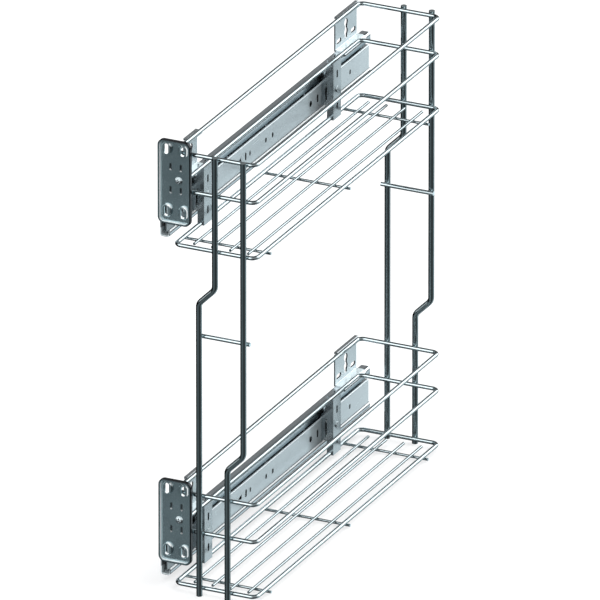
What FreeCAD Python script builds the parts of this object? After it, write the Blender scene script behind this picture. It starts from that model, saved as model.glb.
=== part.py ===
# Two-tier pull-out organizer for a narrow kitchen cabinet, hung on the cabinet's left side wall.
# X runs from the wall to the basket, Y from the door to the back of the cabinet, Z upwards, in millimetres.
# The origin is on the wall, midway between the two fixing holes of the lower slide.
import FreeCAD, Part
import math
import os
import Sketcher

V = FreeCAD.Vector

doc = FreeCAD.newDocument("PullOutOrganizer")
sheet = doc.addObject("Spreadsheet::Sheet", "Sizes")

# The two units
unit_pitch = 352  # lower slide to upper slide, eleven steps of the cabinet's hole rows

# The slide
rail_length = 447  # outer rail of a slide
rail_height = 45  # outer rail
rail_sheet = 1.2  # sheet thickness of the outer and inner rails
rail_depth = 10.6  # outer rail from the wall to its lips
lip_height = 8  # lips of the outer rail
back_bend = 2.2  # outside bend at the wall
ball_size = 3.2  # slide balls
ball_gap = 0.3  # play around a ball
middle_sheet = 1.1  # sheet of the middle rail
middle_short = 9  # middle rail shorter than the outer rail
slide_gap = 0.3  # play between a rail's edge and its neighbour
cage_sheet = 0.6  # ball cages
cage_gap = 0.7  # cage web to the rail webs beside it
cage_length = 196  # ball cages
cage_slot_long = 137  # long window in a cage's web
cage_start = 118  # cages at rest, from the rail's front end
balls_per_row = 3  # balls in each of a cage's two rows
ball_end = 12  # first ball from the cage's end
inner_plane = 12.7  # outer face of the inner rail from the wall
inner_reach = 6.4  # flanges of the inner rail
inner_short = 8  # inner rail shorter than the outer rail
fix_first = 37  # first fixing hole from the rail's front end
fix_span = 352  # fixing hole to fixing hole
fix_hole = 5  # fixing holes in the outer rail
travel = 420  # how far the baskets pull out
catch_at = 144.4  # tip of the three-sided catch hole from the rail's front end
catch_long = 8.4  # catch hole
catch_drop = 0.4  # tip of the catch hole below the rail's middle
catch_low = 2.2  # lower corner of the catch hole below the rail's middle
catch_high = 2.8  # upper corner of the catch hole above the rail's middle
catch_round = 0.5  # corners of the catch hole
access_hole = 9  # driver hole in the middle rail, over the front fixing hole when the slide is out
buffer_length = 9  # rubber stop at the rear
buffer_height = 16  # rubber stop at the rear
buffer_depth = 6.6  # rubber stop from the outer rail's web
buffer_gap = 0.4  # rubber stop to the middle rail

# Wall brackets
bracket_sheet = 1.5  # wall brackets
bracket_rise = 34  # top flange above the rail
bracket_flange = 7  # top flange
bracket_hook = 3.4  # lip that hooks down over the rail
seat_gap = 0.1  # bracket to the rail that it sits on
front_bracket_at = 51  # front bracket from the rail's front end
front_bracket_wide = 28  # front bracket
rear_bracket_at = 387  # rear bracket from the rail's front end
rear_bracket_wide = 48  # rear bracket
wall_slot_span = 32  # horizontal slots of the rear bracket
wall_slot_rise = 8.5  # horizontal slots above the ledge
wall_slot_long = 10.5  # horizontal slots
wall_slot_wide = 4.5  # horizontal slots
key_round = 8  # round lobes of the keyhole, width
key_waist = 4.8  # neck between the lobes and tail below them, width
key_neck = 3.2  # neck from a lobe's middle
key_tail = 5.7  # tail below the lowest lobe's middle
key_rise = 12.5  # keyhole's lowest lobe above the ledge
key_step = 9.5  # lobe to lobe of the keyhole
rivet_size = 4  # rivet shanks
rivet_head = 1.1  # rivet heads, height
rivet_head_size = 6.4  # rivet heads
rivet_play = 0.05  # rivet shank in its hole, on the radius

# Basket wires
hoop_wire = 4.2  # hoops
hoop_wide = 85  # hoops, wire centre to wire centre across
hoop_deep = 411  # hoops, wire centre to wire centre along the depth
hoop_corner = 6.5  # hoop corners, radius at the wire's centre
hoop_front = -13.1  # front wires from the rail's front end
bottom_drop = 22.3  # bottom hoop under the slide's middle
middle_rise = 57.2  # bottom hoop to middle hoop
top_rise = 38.7  # middle hoop to top hoop
thin_wire = 2.8  # floor and cross wires
weld_gap = 0.05  # wire to wire where they are welded
floor_pitch = 19  # floor wires
floor_first = 15.5  # first floor wire from the left wires
floor_front_gap = 10  # floor wires' ends behind the front wire
floor_rear_gap = 12  # floor wires' ends ahead of the rear wire
cross_first = 26  # front cross wire from the front wire
cross_last = 32  # rear cross wire from the rear wire
cross_left = 1.5  # cross wires past the left wires
cross_right = 4.2  # cross wires past the right wires

# Posts and tie rods
post_size = 5.9  # posts
post_above = 3  # posts above the top hoop
post_below = 6.5  # posts below the lowest hoop
post_jog = 17  # posts step sideways and down
post_bend = 9  # bends of the posts
left_post_at = 44.7  # upper part of the left posts from the left wires
right_post_at = 74.6  # upper part of the right posts from the left wires
left_jog_drop = 136  # jog of the left posts below their tops
right_jog_drop = 304  # jog of the right posts below their tops
rod_size = 4.2  # tie rods
rod_below = 112  # tie rods under the upper slide's middle
rod_left = 4.5  # tie rods past the left posts
rod_right = 4.8  # tie rods past the right posts

# Uprights
upright_face = 25.5  # web's outer face from the wall
upright_sheet = 1.2  # uprights
upright_wide = 17  # uprights along the depth
upright_at = 44  # front upright from the rail's front end
upright_span = 288  # front upright to rear upright, nine steps
upright_flange = 7  # flanges of the uprights
upright_top = 0.5  # web above the middle hoop's wire centre
upright_horn = 3  # flanges above the middle hoop's wire centre
upright_foot = 2.1  # web below the bottom hoop's wire centre
foot_top = 12  # flanges' wide part above the slide's middle
foot_low = 10  # flanges' wide part below the slide's middle
foot_taper = 18  # height of the taper above the wide part
slot_wide = 3  # vertical slots of the web
slot_long = 8.2  # vertical slots of the web
slot_high = 21.5  # upper slot above the slide's middle
slot_low = 10.6  # lower slot below the slide's middle
web_rivet_high = 5.5  # long rivet through the web above the slide's middle
foot_rivet_low = 5  # short rivet of the foot below the slide's middle
slit_wide = 1.5  # slit in the front flange
slit_long = 19  # slit in the front flange
slit_rise = 3  # slit's middle above the slide's middle
wire_play = 0.1  # hoop wire in the flange's notch

# Door plates and their carriers
plate_face = 21.5  # door plate's rim ahead of the rail
plate_wide = 34.6  # door plate
plate_high = 86.6  # door plate
plate_sheet = 1.5  # door plate's panel
plate_dish = 2.6  # panel and boss backs sunk behind the rim
plate_round = 0.9  # rim's outer edge
plate_corner = 6.5  # door plate's corners
rim_wide = 2.2  # rim of the door plate, width
plate_left = 7.6  # door plate's left edge from the wall
plate_rise = 44.4  # door plate's middle above the slide's middle
door_slot_right = 0.8  # middle of the door slots right of the plate's middle
door_slot_up = 2.2  # middle of the door slots above the plate's middle
door_slot_across = 17.2  # door slots, side to side
door_slot_apart = 64  # door slots, top to bottom
door_slot_long = 10.8  # door slots
door_slot_wide = 4.2  # door slots
boss_long = 13.2  # raised bosses of the door slots
boss_wide = 10  # raised bosses of the door slots
boss_slope = 0.8  # sloped edge of a boss
boss_wall = 0.9  # side wall of a boss
small_slot_long = 7.4  # small slots round the screw
small_slot_wide = 2.4  # small slots round the screw
small_across = 10.9  # small slots, side to side
small_apart = 23.8  # small slots, top to bottom
small_right = 1  # middle of the small slots right of the plate's middle
small_rise = 3.6  # middle of the small slots above the plate's middle
screw_right = 4.1  # plate screw right of the plate's middle
screw_up = 2.1  # plate screw above the plate's middle
screw_size = 5  # plate screw
screw_head = 8  # plate screw's head
screw_head_high = 2.2  # plate screw's domed head
screw_cross_long = 4.6  # cross in the screw's head
screw_cross_wide = 1.2  # cross in the screw's head
screw_cross_deep = 1.5  # cross in the screw's head
screw_length = 7  # plate screw under its head
screw_play = 0.15  # plate screw in its holes, on the radius
carrier_sheet = 1.5  # door plate's carrier
carrier_back = 30  # carrier's rear end from the rail's front end
carrier_leg = 20  # carrier's leg on the rail, height
carrier_rivet_at = 6  # first carrier rivet from the rail's front end
carrier_rivet_step = 16  # first carrier rivet to the second
carrier_neck = 17  # carrier's upright part along the depth
carrier_high = 40  # carrier's front flange
carrier_right = 3  # front flange inside the plate's right edge
carrier_gap = 0.1  # carrier to the door plate
carrier_bend = 2.2  # carrier's bend, outside
mate_gap = 0.05  # parts that are riveted face to face
overcut = 1  # cutting shapes run past the piece

plain_sizes = {name: value for name, value in globals().items() if isinstance(value, (int, float))}


# Sizes that can be reckoned with: each has its value and the words that bind it to the sheet.
class Size:
    def __init__(self, value, text):
        self.value = float(value)
        self.text = text

    def __add__(self, other):
        other = as_size(other)
        return Size(self.value + other.value, "(%s + %s)" % (self.text, other.text))

    def __radd__(self, other):
        return as_size(other) + self

    def __sub__(self, other):
        other = as_size(other)
        return Size(self.value - other.value, "(%s - %s)" % (self.text, other.text))

    def __rsub__(self, other):
        return as_size(other) - self

    def __mul__(self, other):
        other = as_size(other)
        return Size(self.value * other.value, "(%s * %s)" % (self.text, other.text))

    def __rmul__(self, other):
        return as_size(other) * self

    def __truediv__(self, other):
        other = as_size(other)
        return Size(self.value / other.value, "(%s / %s)" % (self.text, other.text))

    def __neg__(self):
        return Size(-self.value, "(0 - %s)" % self.text)


def as_size(number):
    if isinstance(number, Size):
        return number
    return Size(number, "%.9g" % number if number >= 0 else "(0 - %.9g)" % -number)


cells = []


def driving(alias, value):
    row = len(cells) + 1
    cells.append(alias)
    sheet.set("A%d" % row, alias)
    sheet.set("B%d" % row, str(value))
    sheet.setAlias("B%d" % row, alias)
    return Size(value, "Sizes." + alias)


# From here on each size above is bound to its own cell of the sheet.
for name, value in plain_sizes.items():
    globals()[name] = driving(name, value)


# Sketch helpers: every corner and centre is bound to the sheet.
def origin_plane(body, role):
    for feature in body.Origin.OriginFeatures:
        if feature.Role == role:
            return feature
    raise RuntimeError("no plane " + role)


def new_sketch(body, role, name, offset=None):
    sketch = body.newObject("Sketcher::SketchObject", name)
    sketch.AttachmentSupport = [(origin_plane(body, role), "")]
    sketch.MapMode = "FlatFace"
    if offset is not None:
        sketch.AttachmentOffset = FreeCAD.Placement(V(0, 0, offset.value), FreeCAD.Rotation())
        sketch.setExpression("AttachmentOffset.Base.z", offset.text)
    return sketch


def hold(sketch, kind, geometry, position, size):
    size = as_size(size)
    if kind == "Radius":
        constraint = Sketcher.Constraint(kind, geometry, size.value)
    else:
        constraint = Sketcher.Constraint(kind, -1, 1, geometry, position, size.value)
    index = sketch.addConstraint(constraint)
    if "Sizes." in size.text:
        sketch.setExpression("Constraints[%d]" % index, size.text)


def hold_point(sketch, geometry, position, point):
    hold(sketch, "DistanceX", geometry, position, point[0])
    hold(sketch, "DistanceY", geometry, position, point[1])


def flat(point):
    return V(as_size(point[0]).value, as_size(point[1]).value, 0)


# An outline is a list of (point, arc) pairs: arc is None for a straight run to the next point,
# or (centre, turns left) for a round one.
def draw_outline(sketch, outline, closed=True):
    count = len(outline)
    last = count if closed else count - 1
    drawn = []
    for i in range(last):
        start, arc = outline[i]
        end = outline[(i + 1) % count][0]
        a, b = flat(start), flat(end)
        if arc is None:
            drawn.append((sketch.addGeometry(Part.LineSegment(a, b)), 1, 2))
            continue
        centre, left = arc
        c = flat(centre)
        first, second = (a, b) if left else (b, a)
        angles = [math.atan2(p.y - c.y, p.x - c.x) for p in (first, second)]
        circle = Part.Circle(c, V(0, 0, 1), (a - c).Length)
        geometry = sketch.addGeometry(Part.ArcOfCircle(circle, angles[0], angles[1]))
        drawn.append((geometry, 1, 2) if left else (geometry, 2, 1))
    for i, (geometry, begin, finish) in enumerate(drawn):
        if closed or i + 1 < len(drawn):
            after = drawn[(i + 1) % len(drawn)]
            sketch.addConstraint(Sketcher.Constraint("Coincident", geometry, finish, after[0], after[1]))
        hold_point(sketch, geometry, begin, outline[i][0])
        arc = outline[i][1]
        if arc is not None:
            chord = flat(outline[(i + 1) % count][0]) - flat(outline[i][0])
            upright = abs(chord.y) > abs(chord.x)
            axis = 0 if upright else 1
            hold(sketch, "DistanceX" if upright else "DistanceY", geometry, 3, arc[0][axis])
    if not closed:
        hold_point(sketch, drawn[-1][0], drawn[-1][2], outline[-1][0])


# Corners given as (x, y, radius) become an outline whose rounded corners are true arcs.
def rounded(corners, closed=True):
    count = len(corners)
    outline = []
    for i, (x, y, radius) in enumerate(corners):
        if radius is None:
            outline.append(((x, y), None))
            continue
        here = flat((x, y))
        before = flat(corners[i - 1][:2])
        after = flat(corners[(i + 1) % count][:2])
        come = (here - before).normalize()
        go = (after - here).normalize()
        turn = come.getAngle(go)
        reach = radius * math.tan(turn / 2) if abs(turn - math.pi / 2) > 1e-6 else radius
        left = come.x * go.y - come.y * go.x > 0
        side = 1 if left else -1
        start = (x - reach * round(come.x, 9), y - reach * round(come.y, 9))
        end = (x + reach * round(go.x, 9), y + reach * round(go.y, 9))
        centre = (start[0] - radius * side * round(come.y, 9), start[1] + radius * side * round(come.x, 9))
        outline.append((start, (centre, left)))
        outline.append((end, None))
    return outline


def draw_circle(sketch, centre, radius):
    radius = as_size(radius)
    circle = Part.Circle(flat(centre), V(0, 0, 1), radius.value)
    geometry = sketch.addGeometry(circle)
    hold_point(sketch, geometry, 3, centre)
    hold(sketch, "Radius", geometry, 0, radius)


# A slot along the sketch's second direction, or along its first.
def draw_slot(sketch, centre, length, width, upright=True):
    half = width / 2
    reach = length / 2 - half
    x, y = centre
    if upright:
        outline = [((x + half, y - reach), None), ((x + half, y + reach), ((x, y + reach), True)),
                   ((x - half, y + reach), None), ((x - half, y - reach), ((x, y - reach), True))]
    else:
        outline = [((x - reach, y - half), None), ((x + reach, y - half), ((x + reach, y), True)),
                   ((x + reach, y + half), None), ((x - reach, y + half), ((x - reach, y), True))]
    draw_outline(sketch, outline)


# Body helpers
bodies = []


def new_body(label, x=0, y=0, z=0):
    body = doc.addObject("PartDesign::Body", label)
    body.Label = label
    place(body, x, y, z)
    bodies.append(body)
    return body


def place(thing, x, y, z):
    sizes = [as_size(value) for value in (x, y, z)]
    thing.Placement = FreeCAD.Placement(V(*[size.value for size in sizes]), FreeCAD.Rotation())
    for axis, size in zip("xyz", sizes):
        if "Sizes." in size.text:
            thing.setExpression("Placement.Base." + axis, size.text)


def pad(body, sketch, length, name, backwards=False):
    feature = body.newObject("PartDesign::Pad", name)
    feature.Profile = sketch
    feature.Length = as_size(length).value
    feature.setExpression("Length", as_size(length).text)
    feature.Reversed = backwards
    doc.recompute()
    return feature


def cut_through(body, sketch, name):
    before = body.Shape.Volume
    feature = body.newObject("PartDesign::Pocket", name)
    feature.Profile = sketch
    feature.Type = "ThroughAll"
    feature.SideType = "Symmetric"
    doc.recompute()
    if body.Shape.Volume > before - 1e-3:
        raise RuntimeError(name + " cuts nothing")
    return feature


def cut_depth(body, sketch, depth, name, backwards=False):
    before = body.Shape.Volume
    feature = body.newObject("PartDesign::Pocket", name)
    feature.Profile = sketch
    feature.Length = as_size(depth).value
    feature.setExpression("Length", as_size(depth).text)
    feature.Reversed = backwards
    doc.recompute()
    if body.Shape.Volume > before - 1e-3:
        raise RuntimeError(name + " cuts nothing")
    return feature


def pipe(body, path, profile, name):
    feature = body.newObject("PartDesign::AdditivePipe", name)
    feature.Profile = profile
    feature.Spine = (path, [])
    doc.recompute()
    return feature


# Primitive helpers: cylinders and balls bound to the sheet, joined where they form one node.
turned = {"x": FreeCAD.Rotation(V(0, 1, 0), 90), "y": FreeCAD.Rotation(V(1, 0, 0), -90),
          "z": FreeCAD.Rotation()}


def cylinder(name, axis, radius, length, x, y, z):
    thing = doc.addObject("Part::Cylinder", name)
    thing.Radius = as_size(radius).value
    thing.setExpression("Radius", as_size(radius).text)
    thing.Height = as_size(length).value
    thing.setExpression("Height", as_size(length).text)
    place(thing, x, y, z)
    thing.Placement.Rotation = turned[axis]
    return thing


def ball(name, radius, x, y, z):
    thing = doc.addObject("Part::Sphere", name)
    thing.Radius = as_size(radius).value
    thing.setExpression("Radius", as_size(radius).text)
    place(thing, x, y, z)
    return thing


def group(label, things):
    if len(things) == 1:
        things[0].Label = label
        bodies.append(things[0])
        return things[0]
    joined = doc.addObject("Part::Compound", label)
    joined.Label = label
    joined.Links = things
    bodies.append(joined)
    return joined


def fuse(name, things):
    joined = doc.addObject("Part::MultiFuse", name)
    joined.Shapes = things
    return joined


# Places that several pieces share
front = -(fix_first + fix_span / 2)
units = {"lower": as_size(0), "upper": unit_pitch}
half_rail = rail_height / 2
ball_radius = ball_size / 2
lip_face = rail_depth
race_round = ball_radius + ball_gap
outer_race = half_rail - rail_sheet - race_round
ball_x = rail_depth - rail_sheet - race_round
middle_top = outer_race - race_round
inner_race = middle_top - middle_sheet - race_round
inner_top = inner_race - race_round
middle_back = rail_sheet + 2 * cage_gap + cage_sheet
left_wire = upright_face - upright_sheet - hoop_wire / 2 - wire_play
hoop_y = front + hoop_front
bottom_z = -bottom_drop
middle_z = bottom_z + middle_rise
top_z = middle_z + top_rise


# Slide members
def c_section(depth_from, depth_to, half_height, sheet_size, bend):
    low, high = -half_height, half_height
    inside = bend - sheet_size
    return [(depth_from, low, bend), (depth_to, low, None), (depth_to, low + sheet_size, None),
            (depth_from + sheet_size, low + sheet_size, inside),
            (depth_from + sheet_size, high - sheet_size, inside),
            (depth_to, high - sheet_size, None), (depth_to, high, None), (depth_from, high, bend)]


def outer_rail(unit, z):
    body = new_body(unit + "_outer_rail", 0, front, z)
    lip_end = half_rail - lip_height
    round_out = race_round + rail_sheet
    inner_bend = back_bend - rail_sheet
    section = [(as_size(0), -half_rail, back_bend), (lip_face, -half_rail, round_out),
               (lip_face, -lip_end, None), (lip_face - rail_sheet, -lip_end, None),
               (lip_face - rail_sheet, -half_rail + rail_sheet, race_round),
               (rail_sheet, -half_rail + rail_sheet, inner_bend),
               (rail_sheet, half_rail - rail_sheet, inner_bend),
               (lip_face - rail_sheet, half_rail - rail_sheet, race_round),
               (lip_face - rail_sheet, lip_end, None), (lip_face, lip_end, None),
               (lip_face, half_rail, round_out), (as_size(0), half_rail, back_bend)]
    sketch = new_sketch(body, "XZ_Plane", unit + "_outer_rail_section")
    draw_outline(sketch, rounded(section))
    pad(body, sketch, rail_length, unit + "_outer_rail_roll", backwards=True)
    holes = new_sketch(body, "YZ_Plane", unit + "_outer_rail_holes")
    draw_circle(holes, (fix_first, as_size(0)), fix_hole / 2)
    draw_circle(holes, (fix_first + fix_span, as_size(0)), fix_hole / 2)
    cut_through(body, holes, unit + "_outer_rail_drilled")
    return body


def middle_rail(unit, z):
    body = new_body(unit + "_middle_rail", middle_back, front, z)
    reach = lip_face - rail_sheet - slide_gap - middle_back
    bend = middle_sheet + ball_gap
    section = c_section(as_size(0), reach, middle_top, middle_sheet, bend)
    sketch = new_sketch(body, "XZ_Plane", unit + "_middle_rail_section")
    draw_outline(sketch, rounded(section))
    pad(body, sketch, rail_length - middle_short, unit + "_middle_rail_roll", backwards=True)
    holes = new_sketch(body, "YZ_Plane", unit + "_middle_rail_holes")
    draw_circle(holes, (fix_first + travel / 2, as_size(0)), access_hole / 2)
    cut_through(body, holes, unit + "_middle_rail_drilled")
    return body


# The holes that show in the inner rail's web: place from the front end, length and width.
web_slots = [(162.9, 8, 3.2), (172.3, 5, 2.6), (207.8, 5, 3.4), (222.8, 5, 3.4), (307.8, 6, 5.4),
             (323.3, 8, 3.2), (396.5, 5, 3)]


def inner_rail(unit, z):
    body = new_body(unit + "_inner_rail", inner_plane, front, z)
    bend = rail_sheet + ball_gap
    high, inside = inner_top, inner_top - rail_sheet
    section = [(-inner_reach, -high, None), (as_size(0), -high, bend), (as_size(0), high, bend),
               (-inner_reach, high, None), (-inner_reach, inside, None),
               (-rail_sheet, inside, ball_gap), (-rail_sheet, -inside, ball_gap),
               (-inner_reach, -inside, None)]
    sketch = new_sketch(body, "XZ_Plane", unit + "_inner_rail_section")
    draw_outline(sketch, rounded(section))
    pad(body, sketch, rail_length - inner_short, unit + "_inner_rail_roll", backwards=True)
    holes = new_sketch(body, "YZ_Plane", unit + "_inner_rail_holes")
    for at, length, width in web_slots:
        draw_slot(holes, (as_size(at), as_size(0)), as_size(length), as_size(width))
    draw_outline(holes, rounded([(catch_at, -catch_drop, catch_round),
                                 (catch_at + catch_long, -catch_low, catch_round),
                                 (catch_at + catch_long, catch_high, catch_round)]))
    draw_rivet_holes(holes, z)
    cut_through(body, holes, unit + "_inner_rail_pierced")
    return body


def draw_rivet_holes(sketch, z):
    for y, height in upright_rivet_places() + carrier_rivet_places():
        draw_circle(sketch, (y, height), rivet_size / 2 + rivet_play)


def upright_rivet_places():
    middle = upright_at + upright_wide / 2
    return [(middle, web_rivet_high), (middle + upright_span, web_rivet_high),
            (middle, -foot_rivet_low), (middle + upright_span, -foot_rivet_low)]


def carrier_rivet_places():
    return [(carrier_rivet_at, as_size(0)), (carrier_rivet_at + carrier_rivet_step, as_size(0))]


def ball_rows(half_height):
    step = (cage_length - 2 * ball_end) / (balls_per_row - 1)
    rows = []
    for i in range(int(balls_per_row.value)):
        y = ball_end + i * step
        rows.append((y, half_height))
        rows.append((y, -half_height))
    return rows


# A cage is a thin channel whose flanges hold the balls in round windows.
def ball_cage(unit, z, label, web_x, race):
    body = new_body("%s_%s_ball_cage" % (unit, label), web_x, front + cage_start, z)
    reach = lip_face - rail_sheet - slide_gap - web_x
    section = c_section(as_size(0), reach, race + cage_sheet / 2, cage_sheet, cage_sheet * 1.5)
    sketch = new_sketch(body, "XZ_Plane", body.Label + "_section")
    draw_outline(sketch, rounded(section))
    pad(body, sketch, cage_length, body.Label + "_strip", backwards=True)
    windows = new_sketch(body, "XY_Plane", body.Label + "_windows")
    for y, height in ball_rows(race):
        if height.value > 0:
            draw_circle(windows, (ball_x - web_x, y), ball_radius + ball_gap / 2)
    cut_through(body, windows, body.Label + "_pierced")
    access = new_sketch(body, "YZ_Plane", body.Label + "_lightening")
    draw_slot(access, (cage_length / 2, as_size(0)), cage_slot_long, race, upright=False)
    cut_through(body, access, body.Label + "_lightened")
    return body


def slide_balls(unit, z, label, race):
    things = []
    for i, (y, height) in enumerate(ball_rows(race)):
        name = "%s_%s_ball_%d" % (unit, label, i + 1)
        things.append(ball(name, ball_radius, ball_x, front + cage_start + y, z + height))
    return group("%s_%s_balls" % (unit, label), things)


def rear_buffer(unit, z):
    start = rail_length - middle_short + buffer_gap
    body = new_body(unit + "_rear_buffer", rail_sheet + mate_gap, front + start, z)
    depth = buffer_depth
    sketch = new_sketch(body, "XZ_Plane", unit + "_rear_buffer_outline")
    high = buffer_height / 2
    draw_outline(sketch, rounded([(as_size(0), -high, None), (depth, -high, rail_sheet),
                                  (depth, high, rail_sheet), (as_size(0), high, None)]))
    pad(body, sketch, buffer_length, unit + "_rear_buffer_block", backwards=True)
    return body


# Wall brackets: a web on the wall, a flange on top and a ledge that hooks over the rail.
def wall_bracket(unit, z, side, at, wide):
    label = "%s_%s_wall_bracket" % (unit, side)
    body = new_body(label, 0, front + at, z + half_rail + seat_gap)
    ledge = lip_face + seat_gap + bracket_sheet
    bend = back_bend
    round_out = race_round + rail_sheet + seat_gap + bracket_sheet
    inside = bend - bracket_sheet
    section = [(ledge, -bracket_hook, None), (ledge, bracket_sheet, round_out),
               (bracket_sheet, bracket_sheet, inside),
               (bracket_sheet, bracket_rise - bracket_sheet, inside),
               (bracket_flange, bracket_rise - bracket_sheet, None), (bracket_flange, bracket_rise, None),
               (as_size(0), bracket_rise, bend), (as_size(0), as_size(0), None),
               (ledge - bracket_sheet, as_size(0), round_out - bracket_sheet),
               (ledge - bracket_sheet, -bracket_hook, None)]
    sketch = new_sketch(body, "XZ_Plane", label + "_section")
    draw_outline(sketch, rounded(section))
    pad(body, sketch, wide, label + "_strip", backwards=True)
    holes = new_sketch(body, "YZ_Plane", label + "_holes")
    draw_keyhole(holes, wide / 2, key_rise)
    if side == "rear":
        for way in (-1, 1):
            centre = (wide / 2 + way * wall_slot_span / 2, wall_slot_rise)
            draw_slot(holes, centre, wall_slot_long, wall_slot_wide, upright=False)
    cut_through(body, holes, label + "_pierced")
    return body


# Two round lobes over a straight tail, drawn as one outline.
def draw_keyhole(sketch, y, z):
    waist = key_waist / 2
    rise = key_neck
    upper = z + key_step
    tail = z - key_tail
    outline = [((y + waist, tail), None), ((y + waist, z - rise), ((y, z), True)),
               ((y + waist, z + rise), None), ((y + waist, upper - rise), ((y, upper), True)),
               ((y - waist, upper - rise), None), ((y - waist, z + rise), ((y, z), True)),
               ((y - waist, z - rise), None), ((y - waist, tail), ((y, tail), True))]
    draw_outline(sketch, outline)


# Basket wires
def hoop(unit, z, label, height):
    body = new_body("%s_%s_hoop" % (unit, label), left_wire, hoop_y, z + height)
    path = new_sketch(body, "XY_Plane", body.Label + "_path")
    zero = as_size(0)
    corners = [(zero, zero, hoop_corner), (hoop_wide, zero, hoop_corner),
               (hoop_wide, hoop_deep, hoop_corner), (zero, hoop_deep, hoop_corner)]
    outline = rounded(corners)
    draw_outline(path, outline)
    start = outline[1][0]
    profile = new_sketch(body, "YZ_Plane", body.Label + "_wire", offset=start[0])
    draw_circle(profile, (zero, zero), hoop_wire / 2)
    pipe(body, path, profile, body.Label + "_bent")
    return body


floor_z = bottom_z - hoop_wire / 2 - weld_gap - thin_wire / 2


def cross_wires(unit, z):
    things = []
    first, last = hoop_y + cross_first, hoop_y + hoop_deep - cross_last
    for i, y in enumerate((first, (first + last) / 2, last)):
        name = "%s_cross_wire_%d" % (unit, i + 1)
        length = hoop_wide + cross_left + cross_right
        things.append(cylinder(name, "x", thin_wire / 2, length, left_wire - cross_left, y, z + floor_z))
    return group(unit + "_cross_wires", things)


def floor_wires(unit, z):
    things = []
    height = floor_z + thin_wire + weld_gap
    length = hoop_deep - floor_front_gap - floor_rear_gap
    for i in range(4):
        name = "%s_floor_wire_%d" % (unit, i + 1)
        x = left_wire + floor_first + i * floor_pitch
        things.append(cylinder(name, "y", thin_wire / 2, length, x, hoop_y + floor_front_gap, z + height))
    return group(unit + "_floor_wires", things)


# Posts: one bent rod each, drawn in the XZ plane from the top down.
post_reach = (hoop_wire + post_size) / 2 + weld_gap
front_post_y = hoop_y - post_reach
rear_post_y = hoop_y + hoop_deep + post_reach
post_top = unit_pitch + top_z + post_above
post_bottom = bottom_z - post_below


def post(side, hand, y, across, drop):
    body = new_body("%s_%s_post" % (side, hand), left_wire + across, y, post_top)
    path = new_sketch(body, "XZ_Plane", body.Label + "_path")
    zero = as_size(0)
    length = post_top - post_bottom
    corners = [(zero, zero, None), (zero, -drop, post_bend), (-post_jog, -drop - post_jog, post_bend),
               (-post_jog, -length, None)]
    draw_outline(path, rounded(corners), closed=False)
    profile = new_sketch(body, "XY_Plane", body.Label + "_rod")
    draw_circle(profile, (zero, zero), post_size / 2)
    pipe(body, path, profile, body.Label + "_bent")
    return body


def tie_rod(side, y):
    start = left_wire + left_post_at - post_jog - rod_left
    length = right_post_at - left_post_at + post_jog + rod_left + rod_right
    rod = cylinder(side + "_tie_rod", "x", rod_size / 2, length, start, y, unit_pitch - rod_below)
    return group(side + "_tie_rod", [rod])


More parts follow.
